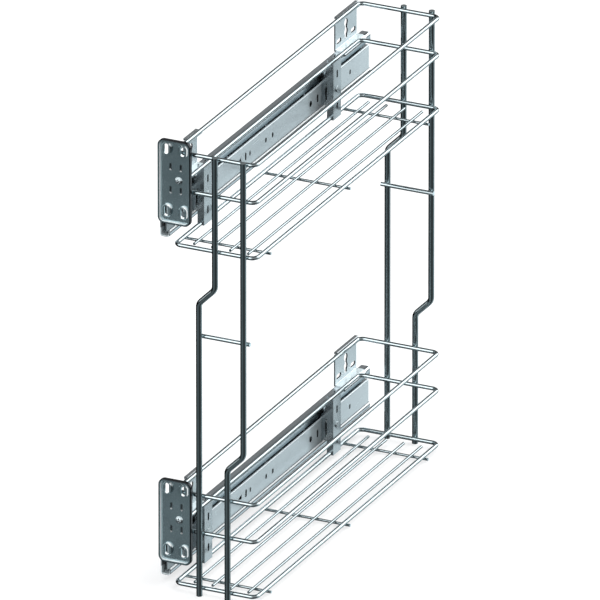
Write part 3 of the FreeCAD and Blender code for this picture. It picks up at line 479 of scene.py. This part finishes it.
class SheetSizes(bpy.types.PropertyGroup):
    web: bpy.props.FloatProperty(
        name="Web thickness", description="Thickness of the flat web of a slide member", default=0.0014,
        unit="LENGTH")
    # A sheet's margin is kept clear of the painted hole shade
    margin: bpy.props.FloatProperty(
        name="Edge margin", description="Bright margin of a sheet round its dark hole walls", default=0.001,
        unit="LENGTH")
    web_margin: bpy.props.FloatProperty(
        name="Web margin", description="From a slide member's edge to the flat of its web", default=0.0105,
        unit="LENGTH")
    # Half the height of the painted shade on a middle member's web
    web_shade: bpy.props.FloatProperty(
        name="Grease", description="Half the height of the grease on a middle member's web", default=0.012,
        unit="LENGTH")
    ledge: bpy.props.FloatProperty(
        name="Bracket ledge", description="Height of a wall bracket's ledge and bend", default=0.009,
        unit="LENGTH")
    sheet: bpy.props.FloatProperty(
        name="Lip sheet", description="Sheet thickness of an outer member's lips", default=0.0010,
        unit="LENGTH")
    lip_end: bpy.props.FloatProperty(
        name="Lip end", description="Edge of an outer member's lips from the slide's middle", default=0.0148,
        unit="LENGTH")
    lip_start: bpy.props.FloatProperty(
        name="Lip start", description="Where an outer member's lips begin to bend, from the slide's middle",
        default=0.0192, unit="LENGTH")
    # The painted highlight along a lower lip and the painted shade below it
    highlight_reach: bpy.props.FloatProperty(
        name="Bright streak", description="Reach of the bright streak past the edge of a lower lip",
        default=0.0017, unit="LENGTH")
    shade_band_height: bpy.props.FloatProperty(
        name="Dark streak", description="Height of the dark streak below the bright one", default=0.0013,
        unit="LENGTH")
    plate_corner: bpy.props.FloatProperty(
        name="Plate corner", description="Corner radius of the door plates", default=0.0065, unit="LENGTH")
    plate_wall: bpy.props.FloatProperty(
        name="Plate wall", description="From a door plate's outline to the foot of its rim's inner wall",
        default=0.00425, unit="LENGTH")
    plate_rim: bpy.props.FloatProperty(
        name="Plate rim", description="Width of a door plate's rim", default=0.0016, unit="LENGTH")
    # Width of the painted shade line round a door plate
    edge_shade_width: bpy.props.FloatProperty(
        name="Plate line", description="Width of the burnt line round a door plate", default=0.00095,
        unit="LENGTH")


class FoldSizes(bpy.types.PropertyGroup):
    height: bpy.props.FloatProperty(
        name="Fold height", description="Top fold above a wall bracket's plate", default=0.0020,
        unit="LENGTH")
    reach: bpy.props.FloatProperty(
        name="Fold reach", description="Top fold from the wall", default=0.0038, unit="LENGTH")
    sheet: bpy.props.FloatProperty(
        name="Fold sheet", description="Sheet thickness of the wall brackets", default=0.0012, unit="LENGTH")
    chamfer: bpy.props.FloatProperty(
        name="Fold chamfer", description="Broken edge of the fold, as a share of its sheet", default=0.3,
        min=0.0, max=1.0, subtype="FACTOR")
    margin: bpy.props.FloatProperty(
        name="Fold margin", description="Fold shorter than the bracket at each end", default=0.0005,
        unit="LENGTH")


class WeldSizes(bpy.types.PropertyGroup):
    radius: bpy.props.FloatProperty(
        name="Bead radius", description="Half the width of a weld bead", default=0.0013, unit="LENGTH")
    ripple: bpy.props.FloatProperty(
        name="Bead ripple", description="How far a bead's rim waves in and out", default=0.12,
        min=0.0, max=1.0, subtype="FACTOR")
    seed: bpy.props.IntProperty(
        name="Seed", description="Order in which the beads vary", default=7)
    uneven: bpy.props.FloatProperty(
        name="Unevenness", description="How much bead sizes differ", default=0.25,
        min=0.0, max=1.0, subtype="FACTOR")


class StageSizes(bpy.types.PropertyGroup):
    floor_size: bpy.props.FloatProperty(
        name="Floor size", description="Side of the square floor", default=9.0, unit="LENGTH")
    floor_colour: bpy.props.FloatVectorProperty(
        name="Floor colour", description="Plain pale floor", subtype="COLOR", default=(0.93, 0.935, 0.94))
    floor_glow: bpy.props.FloatProperty(
        name="Floor glow", description="Share of the floor's light that comes from below it", default=0.7,
        min=0.0, max=1.0, subtype="FACTOR")
    azimuth: bpy.props.FloatProperty(
        name="Camera azimuth", description="Camera round the part from straight ahead",
        default=math.radians(25.45), subtype="ANGLE")
    elevation: bpy.props.FloatProperty(
        name="Camera elevation", description="Camera above the horizon", default=math.radians(23.1),
        subtype="ANGLE")
    pixel_size: bpy.props.FloatProperty(
        name="Picture scale", description="Pixels of the 600 pixel picture for a millimetre", default=1.040)
    distance: bpy.props.FloatProperty(
        name="Camera distance", description="Camera from the part", default=24.0, unit="LENGTH")


def of_units(*names):
    return ["%s_%s" % (unit, name) for unit in UNITS for name in names]


# Pieces are dressed by giving their material slots a new finish.
def dress(names, material):
    for name in names:
        piece = nodes[name]
        for slot in piece.material_slots:
            slot.material = material


def outer_plating(light, sheets):
    boxes = [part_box(name) for name in of_units("outer_rail")]
    low, high = boxes[0]
    webs = [inset(box, sheets.margin, sheets.web_margin, sheets.web_margin) for box in boxes]
    marks = [satin_web(low[0] - sheets.web, low[0] + sheets.web), painted_race_light(boxes, high[0], sheets),
             painted_hole_shade(webs), lip_shade(boxes, high[0], sheets), *painted_lip_highlight_and_shade(boxes, high[0], sheets)]
    return plated_sheet("outer slide plating", light, darker(light, 0.86), 0.24, marks=marks)


def inner_plating(light, sheets):
    boxes = [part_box(name) for name in of_units("inner_rail")]
    low, high = boxes[0]
    edge = sheets.web * 2
    marks = [satin_web(high[0] - sheets.web, high[0] + sheets.web),
             painted_hole_shade([inset(box, sheets.margin, edge, edge) for box in boxes])]
    return plated_sheet("inner slide plating", light, darker(light, 0.86), 0.24, marks=marks)


# The middle members are plated darker and their webs near black: painted shade between the outer and inner
# members.
def shaded_middle_plating(sheets):
    boxes = [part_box(name) for name in of_units("middle_rail")]
    return plated_sheet("middle member shade plating", (0.34, 0.40, 0.42), (0.18, 0.21, 0.22), 0.30,
                        marks=[painted_middle_shade(boxes, sheets.web_shade)])


class ORGANIZER_OT_slides(bpy.types.Operator):
    """Dress the slide members, their ball cages, balls and rubber stops"""
    bl_idname = "organizer.slides"
    bl_label = "Slides"

    def execute(self, context):
        sheets = context.scene.organizer_sheets
        light = tuple(context.scene.organizer_finish.rail_light)
        dress(of_units("outer_rail"), outer_plating(light, sheets))
        dress(of_units("inner_rail"), inner_plating(light, sheets))
        dress(of_units("middle_rail"), shaded_middle_plating(sheets))
        cage = plated_sheet("cage plating", (0.55, 0.58, 0.60), (0.42, 0.45, 0.47), 0.38)
        dress(of_units("outer_ball_cage", "inner_ball_cage"), cage)
        ball = chromed_wire("polished balls", (0.80, 0.81, 0.82), (0.70, 0.71, 0.72), 0.08)
        dress(of_units("outer_balls", "inner_balls"), ball)
        dress(of_units("rear_buffer"), stop_rubber("stop rubber"))
        return {"FINISHED"}


def upright_plating(side, look, sheets):
    light = tuple(look.sheet_light)
    margin = sheets.margin
    walls = painted_hole_shade([inset(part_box(name), margin, margin, margin) for name in of_units(side + "_upright")])
    return plated_sheet(side + " upright plating", darker(light, 0.84), darker(light, 0.72),
                        look.sheet_roughness, grain=ROLLED_UP, marks=[walls])


def bracket_plating(side, look, sheets):
    light = tuple(look.sheet_light)
    margin = sheets.margin
    boxes = [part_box(name) for name in of_units(side + "_wall_bracket")]
    walls = painted_hole_shade([inset(box, margin, sheets.ledge, margin) for box in boxes])
    # Painted light on the up-facing ledge at the foot of each wall bracket.
    ledge = painted_top_light(0.45, 0.75, [(low[2] - margin, low[2] + sheets.ledge) for low, high in boxes])
    return plated_sheet(side + " bracket plating", darker(light, 0.97), darker(light, 0.80),
                        look.sheet_roughness, grain=PRESSED_UP, marks=[walls, ledge])


def door_plate_plating(name, look, sheets):
    light = tuple(look.plate_light)
    return plated_sheet(name.replace("_", " ") + " plating", light, darker(light, 0.85), 0.24,
                        grain=PRESSED_UP, marks=plate_highlights_and_shade(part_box(name), sheets))


class ORGANIZER_OT_sheet_parts(bpy.types.Operator):
    """Dress the wall brackets, uprights, door carriers and door plates"""
    bl_idname = "organizer.sheet_parts"
    bl_label = "Brackets, uprights and plates"

    def execute(self, context):
        look = context.scene.organizer_finish
        sheets = context.scene.organizer_sheets
        light = tuple(look.sheet_light)
        # The carriers are a darker copy of the sheet plating: painted shade for the dark cavity behind the
        # door plates.
        carrier = plated_sheet("carrier plating", darker(light, 0.5), darker(light, 0.4),
                               look.sheet_roughness, grain=ROLLED_UP)
        dress(of_units("door_carrier"), carrier)
        for side in SIDES:
            dress(of_units(side + "_upright"), upright_plating(side, look, sheets))
            dress(of_units(side + "_wall_bracket"), bracket_plating(side, look, sheets))
        for name in of_units("door_plate"):
            dress([name], door_plate_plating(name, look, sheets))
        # Painted highlight on the up-facing crowns of the rivets and plate screws.
        crown_highlight = painted_top_light(0.10, 0.30)
        rivet = plated_sheet("rivet plating", (0.55, 0.58, 0.60), (0.42, 0.45, 0.47), 0.25, marks=[crown_highlight])
        dress(of_units("upright_rivets", "carrier_rivets", "plate_screw"), rivet)
        return {"FINISHED"}


class ORGANIZER_OT_bracket_folds(bpy.types.Operator):
    """Fold the top edge of each wall bracket forward, as a narrow stiffening flange"""
    bl_idname = "organizer.bracket_folds"
    bl_label = "Bracket folds"

    def execute(self, context):
        sizes = context.scene.organizer_folds
        for name in of_units("front_wall_bracket", "rear_wall_bracket"):
            low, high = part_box(name)
            ends = low[1] + sizes.margin, high[1] - sizes.margin
            profile = fold_profile(high[2], sizes)
            fold = drawn_bar(name.replace("wall_bracket", "bracket_fold"), profile, ends)
            fold.data.materials.append(nodes[name].material_slots[0].material)
            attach(fold, "wall_side")
        return {"FINISHED"}


def fold_profile(base, sizes):
    """The fold's (x, z) outline: up from the bracket, then out from the wall, with its front edge broken."""
    top = base + sizes.height
    under = top - sizes.sheet
    edge = sizes.sheet * sizes.chamfer
    return [(0.0, base), (sizes.sheet, base), (sizes.sheet, under), (sizes.reach, under),
            (sizes.reach, top - edge), (sizes.reach - edge, top), (0.0, top)]


def drawn_bar(name, profile, ends):
    """A closed bar with a profile of (x, z) places, drawn along Y between two ends."""
    count = len(profile)
    verts = [(x, y, z) for y in ends for x, z in profile]
    faces = [tuple(range(count)), tuple(range(2 * count - 1, count - 1, -1))]
    faces += [(i, count + i, count + (i + 1) % count, (i + 1) % count) for i in range(count)]
    mesh = bpy.data.meshes.new(name)
    mesh.from_pydata(verts, [], faces)
    made = bmesh.new()
    made.from_mesh(mesh)
    bmesh.ops.recalc_face_normals(made, faces=made.faces)
    made.to_mesh(mesh)
    made.free()
    bar = bpy.data.objects.new(name, mesh)
    bpy.context.scene.collection.objects.link(bar)
    return bar


class ORGANIZER_OT_baskets(bpy.types.Operator):
    """Dress the hoops, floor wires, cross wires, posts and tie rods"""
    bl_idname = "organizer.baskets"
    bl_label = "Baskets and posts"

    def execute(self, context):
        look = context.scene.organizer_finish
        light = tuple(look.wire_light)
        wire = chromed_wire("basket chrome", light, darker(light, 0.9), look.wire_roughness)
        dress(of_units(*[hoop + "_hoop" for hoop in HOOPS]), wire)
        thin = chromed_wire("thin wire chrome", darker(light, 0.88), darker(light, 0.76), look.wire_roughness)
        dress(of_units("floor_wires", "cross_wires"), thin)
        light = tuple(look.post_light)
        post = chromed_wire("post chrome", light, darker(light, 0.85), look.post_roughness)
        dress([post_name(side, hand) for side in SIDES for hand in HANDS], post)
        dress([side + "_tie_rod" for side in SIDES], wire)
        return {"FINISHED"}


def post_name(side, hand):
    return "%s_%s_post" % (side, hand)


# Weld beads: points where two round bars meet, each with a bead instanced on it. The sizes are the number of
# floor wires in a basket, how much thicker a hoop is than a cross wire, and heights taken as one, in metres.
FLOOR_WIRES = 4
HOOP_TO_CROSS_WIRE = 1.5
SAME_LEVEL = 1e-4


def crossing_points():
    """Where round bars touch: the floor grids, then hoops on posts, then tie rods on posts."""
    points = []
    for unit in UNITS:
        points += floor_crossings(unit)
        for hoop in HOOPS:
            height = middle_height(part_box("%s_%s_hoop" % (unit, hoop)))
            points += [post_touch(side, hand, height) for side in SIDES for hand in HANDS]
    for side in SIDES:
        height = middle_height(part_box(side + "_tie_rod"))
        points += [post_touch(side, hand, height) for hand in HANDS]
    return points


def floor_crossings(unit):
    """Where each cross wire of a basket touches the floor wires and the two long sides of the bottom hoop."""
    low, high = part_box(unit + "_cross_wires")
    floor_low, floor_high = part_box(unit + "_floor_wires")
    hoop_low, hoop_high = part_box(unit + "_bottom_hoop")
    wire = high[2] - low[2]
    half = wire / 2
    step = (floor_high[0] - floor_low[0] - wire) / (FLOOR_WIRES - 1)
    columns = [floor_low[0] + half + i * step for i in range(FLOOR_WIRES)]
    hoop_half = half * HOOP_TO_CROSS_WIRE
    columns += [hoop_low[0] + hoop_half, hoop_high[0] - hoop_half]
    rows = [low[1] + half, (low[1] + high[1]) / 2, high[1] - half]
    return [(x, y, high[2]) for y in rows for x in columns]


def post_touch(side, hand, height):
    """Where a wire at some height touches the inner face of a post."""
    post = nodes[post_name(side, hand)]
    places = [vert.co for vert in post.data.vertices]
    over = min(co.z for co in places if co.z >= height)
    under = max(co.z for co in places if co.z < height)
    share = (height - under) / (over - under)
    x = middle_across(places, under) * (1 - share) + middle_across(places, over) * share
    low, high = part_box(post.name)
    y = high[1] if side == "front" else low[1]
    return x, y, height


def middle_across(places, level):
    """Middle, along X, of the places at one level."""
    across = [co.x for co in places if abs(co.z - level) < SAME_LEVEL]
    return (min(across) + max(across)) / 2


def bead_shape(sizes):
    """A small ball of weld metal with a rippled rim."""
    mesh = bpy.data.meshes.new("weld bead shape")
    made = bmesh.new()
    bmesh.ops.create_icosphere(made, subdivisions=2, radius=sizes.radius)
    for vert in made.verts:
        angle = math.atan2(vert.co.y, vert.co.x)
        vert.co.x *= 1.0 + sizes.ripple * math.sin(5 * angle)
        vert.co.y *= 1.0 + sizes.ripple * math.cos(4 * angle)
    made.to_mesh(mesh)
    made.free()
    return bpy.data.objects.new("weld bead shape", mesh)


BEAD_INPUTS = {"Geometry": "NodeSocketGeometry", "Bead": "NodeSocketObject",
               "Unevenness": "NodeSocketFloat", "Seed": "NodeSocketInt"}


def bead_tree(material):
    """Geometry Nodes that set a turned and scaled bead on each point."""
    tree = bpy.data.node_groups.new("Weld beads", "GeometryNodeTree")
    for name, kind in BEAD_INPUTS.items():
        tree.interface.new_socket(name, in_out="INPUT", socket_type=kind)
    tree.interface.new_socket("Geometry", in_out="OUTPUT", socket_type="NodeSocketGeometry")
    points, bead, uneven, seed = [add_node(tree, "NodeGroupInput", output=name) for name in BEAD_INPUTS]
    shape = add_node(tree, "GeometryNodeObjectInfo", output="Geometry", Object=bead)
    # sockets 2 and 3 and output 1 of a Random Value node are its numbers, 1 and 0 its vectors
    size = add_node(tree, "FunctionNodeRandomValue", output=1, _2=1.0 - uneven, _3=1.0, Seed=seed)
    turn = add_node(tree, "FunctionNodeRandomValue", {"data_type": "FLOAT_VECTOR"},
                    _1=(math.tau, math.tau, math.tau), Seed=seed)
    placed = add_node(tree, "GeometryNodeInstanceOnPoints", Points=points, Instance=shape,
                      Rotation=turn, Scale=size)
    real = add_node(tree, "GeometryNodeRealizeInstances", Geometry=placed)
    dressed = add_node(tree, "GeometryNodeSetMaterial", Geometry=real, Material=material)
    add_node(tree, "NodeGroupOutput", Geometry=dressed)
    return tree


def socket_key(tree, name):
    for item in tree.interface.items_tree:
        if item.name == name and item.in_out == "INPUT":
            return item.identifier
    raise RuntimeError("no input " + name)


def settled(source, name):
    """The evaluated source as one plain mesh object, the source removed."""
    bpy.context.view_layer.update()
    evaluated = source.evaluated_get(bpy.context.evaluated_depsgraph_get())
    mesh = bpy.data.meshes.new_from_object(evaluated)
    piece = bpy.data.objects.new(name, mesh)
    bpy.context.scene.collection.objects.link(piece)
    source.modifiers.clear()
    bpy.data.objects.remove(source)
    return piece


class ORGANIZER_OT_weld_beads(bpy.types.Operator):
    """Set a small weld bead wherever two wires, or a wire and a post, cross"""
    bl_idname = "organizer.weld_beads"
    bl_label = "Weld beads"

    def execute(self, context):
        sizes = context.scene.organizer_welds
        material = weld_metal("weld metal", (0.72, 0.74, 0.76), (0.40, 0.43, 0.45))
        points = bpy.data.meshes.new("weld points")
        points.from_pydata(crossing_points(), [], [])
        source = bpy.data.objects.new("weld points", points)
        context.scene.collection.objects.link(source)
        bead = bead_shape(sizes)
        tree = bead_tree(material)
        modifier = source.modifiers.new("Weld beads", "NODES")
        modifier.node_group = tree
        modifier[socket_key(tree, "Bead")] = bead
        modifier[socket_key(tree, "Unevenness")] = sizes.uneven
        modifier[socket_key(tree, "Seed")] = sizes.seed
        piece = settled(source, "weld_beads")
        bpy.data.objects.remove(bead)
        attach(piece, "basket")
        return {"FINISHED"}


class ORGANIZER_OT_stage(bpy.types.Operator):
    """Lay the floor, hang the lights and set the camera"""
    bl_idname = "organizer.stage"
    bl_label = "Floor, light and camera"

    def execute(self, context):
        sizes = context.scene.organizer_stage
        lay_floor(sizes)
        for lamp in LAMPS:
            soft_light(*lamp)
        fill_world()
        set_camera(sizes)
        context.scene.view_settings.view_transform = "Standard"
        return {"FINISHED"}


def lay_floor(sizes):
    level = cad_bounds[0][2]
    half = sizes.floor_size / 2
    mesh = bpy.data.meshes.new("floor")
    corners = [(-half, -half, level), (half, -half, level), (half, half, level), (-half, half, level)]
    mesh.from_pydata(corners, [], [(0, 1, 2, 3)])
    floor = bpy.data.objects.new("floor", mesh)
    mesh.materials.append(pale_floor("floor paint", tuple(sizes.floor_colour), sizes.floor_glow))
    bpy.context.scene.collection.objects.link(floor)
    floor.visible_glossy = False


# Lamps: name, place, width and height in metres, and power in watts. Both look at the part's middle.
LAMPS = (("overhead softbox", (0.3, 0.2, 3.0), (3.4, 3.4), 150.0),
         ("rear right softbox", (2.2, 2.6, 1.7), (1.9, 1.7), 40.0))
LAMP_AIM = Vector((0.05, 0.0, 0.2))


def soft_light(name, place, size, power):
    """A soft lamp that the metal doesn't mirror, since the studio behind it already does."""
    lamp = bpy.data.lights.new(name, "AREA")
    lamp.shape = "RECTANGLE"
    lamp.size, lamp.size_y = size
    lamp.energy = power
    holder = bpy.data.objects.new(name, lamp)
    holder.location = place
    holder.rotation_euler = (LAMP_AIM - Vector(place)).to_track_quat("-Z", "Y").to_euler()
    holder.visible_glossy = False
    bpy.context.scene.collection.objects.link(holder)


# The studio round the part, as bright metal sees it. Stops are (turn, brightness), the turn being a share of
# a full circle from the left, through the front, the right and the back, to the left again.
STUDIO_BELOW = [(0.00, 0.005), (0.08, 0.008), (0.13, 0.22), (0.20, 0.22), (0.29, 0.16), (0.37, 0.05),
                (0.43, 0.05), (0.50, 0.20), (0.57, 0.30), (0.65, 1.20), (0.690, 1.20), (0.712, 0.06),
                (0.75, 0.005), (1.00, 0.005)]
STUDIO_ABOVE = [(0.00, 0.03), (0.06, 0.30), (0.11, 2.20), (0.25, 2.20), (0.33, 0.45), (0.48, 0.45),
                (0.60, 2.60), (0.71, 2.60), (0.735, 0.02), (0.79, 0.02), (0.805, 0.34), (0.832, 0.34),
                (0.845, 0.01), (1.00, 0.01)]
STUDIO_TOP = 0.08

# Heights on the studio's sphere, from -1 below to 1 above, where each zone fades into the next
HORIZON = (-0.16, 0.10)
TOP_EDGE = (0.68, 0.88)
BELT_FOOT = (-0.34, -0.30)
BELT_HEAD = (-0.08, -0.02)
BELT_DEPTH = 0.96


def cool(brightness):
    return (brightness * 0.88, brightness, brightness * 1.04)


def plain(brightness):
    return (brightness, brightness, brightness)


def tinted(stops, tint):
    return [(turn, tint(brightness)) for turn, brightness in stops]


def fill_world():
    """The studio as the metal sees it, and plain white behind the part as the camera sees it."""
    world = bpy.data.worlds.new("studio")
    bpy.context.scene.world = world
    world.use_nodes = True
    tree = world.node_tree
    direction = add_node(tree, "ShaderNodeTexCoord", output="Generated")
    across, along, height = [share_of(direction, which) for which in "XYZ"]
    turn = along.math("ARCTAN2", across) * (1.0 / math.tau) + 0.5
    below = add_node(tree, "ShaderNodeValToRGB", {"stops": tinted(STUDIO_BELOW, cool)}, Fac=turn)
    above = add_node(tree, "ShaderNodeValToRGB", {"stops": tinted(STUDIO_ABOVE, plain)}, Fac=turn)
    colour = mixed(height.between(*HORIZON), below, above)
    colour = mixed(height.between(*TOP_EDGE), colour, cool(STUDIO_TOP))
    belt = height.between(*BELT_FOOT) * (1.0 - height.between(*BELT_HEAD))
    colour = mixed(belt * BELT_DEPTH, colour, plain(0.0))
    seen = add_node(tree, "ShaderNodeLightPath", output="Is Camera Ray")
    background = tree.nodes["Background"]
    feed(tree, background.inputs["Color"], mixed(seen, colour, plain(1.0)))
    background.inputs["Strength"].default_value = 1.0


# The square picture and the camera's film. The place of the upper rail's front end in the photograph, in
# pixels from its left and top edges, sets the picture's middle.
PICTURE = 600.0
RAIL_END_IN_PICTURE = (161.2, 214.7)
FILM = 36.0


def set_camera(sizes):
    """A long lens from far away, close to the photograph's parallel view."""
    turn, rise = sizes.azimuth, sizes.elevation
    right = Vector((math.cos(turn), math.sin(turn), 0.0))
    towards = Vector((math.sin(turn) * math.cos(rise), -math.cos(turn) * math.cos(rise), math.sin(rise)))
    up = towards.cross(right)
    scale = sizes.pixel_size * 1000.0
    across, down = RAIL_END_IN_PICTURE
    centre = rail_end() + right * ((PICTURE / 2 - across) / scale) + up * ((down - PICTURE / 2) / scale)
    # the scale is exact at the depth of the part's middle
    middle = Vector(cad_bounds[0] + cad_bounds[1]) / 2
    centre = centre + towards * (middle - centre).dot(towards)
    lens = bpy.data.cameras.new("camera")
    lens.sensor_width = FILM
    lens.lens = FILM * sizes.distance / (PICTURE / scale)
    camera = bpy.data.objects.new("camera", lens)
    place = Matrix((right, up, towards)).transposed().to_4x4()
    place.translation = centre + towards * sizes.distance
    camera.matrix_world = place
    bpy.context.scene.collection.objects.link(camera)
    bpy.context.scene.camera = camera


def rail_end():
    """Middle height of the upper outer rail's front end, at the wall."""
    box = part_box("upper_outer_rail")
    return Vector((0.0, box[0][1], middle_height(box)))


class ORGANIZER_PT_panel(bpy.types.Panel):
    bl_idname = "ORGANIZER_PT_panel"
    bl_label = "Pull-out organizer"
    bl_space_type = "VIEW_3D"
    bl_region_type = "UI"
    bl_category = "Organizer"

    def draw(self, context):
        for group_name in GROUPS:
            group = getattr(context.scene, group_name)
            for name in group.__annotations__:
                self.layout.prop(group, name)
        for operator in OPERATORS:
            self.layout.operator(operator.bl_idname)


OPERATORS = (ORGANIZER_OT_slides, ORGANIZER_OT_sheet_parts, ORGANIZER_OT_bracket_folds,
             ORGANIZER_OT_baskets, ORGANIZER_OT_weld_beads, ORGANIZER_OT_stage)
GROUPS = {"organizer_finish": OrganizerFinish, "organizer_sheets": SheetSizes, "organizer_folds": FoldSizes,
          "organizer_welds": WeldSizes, "organizer_stage": StageSizes}


def register():
    for kind in (*GROUPS.values(), *OPERATORS, ORGANIZER_PT_panel):
        bpy.utils.register_class(kind)
    for name, kind in GROUPS.items():
        setattr(bpy.types.Scene, name, bpy.props.PointerProperty(type=kind))


def unregister():
    for name in GROUPS:
        delattr(bpy.types.Scene, name)
    for kind in (ORGANIZER_PT_panel, *OPERATORS, *GROUPS.values()):
        bpy.utils.unregister_class(kind)


def main():
    register()
    for operator in OPERATORS:
        family, name = operator.bl_idname.split(".")
        getattr(getattr(bpy.ops, family), name)()


if __name__ == "__main__":
    main()
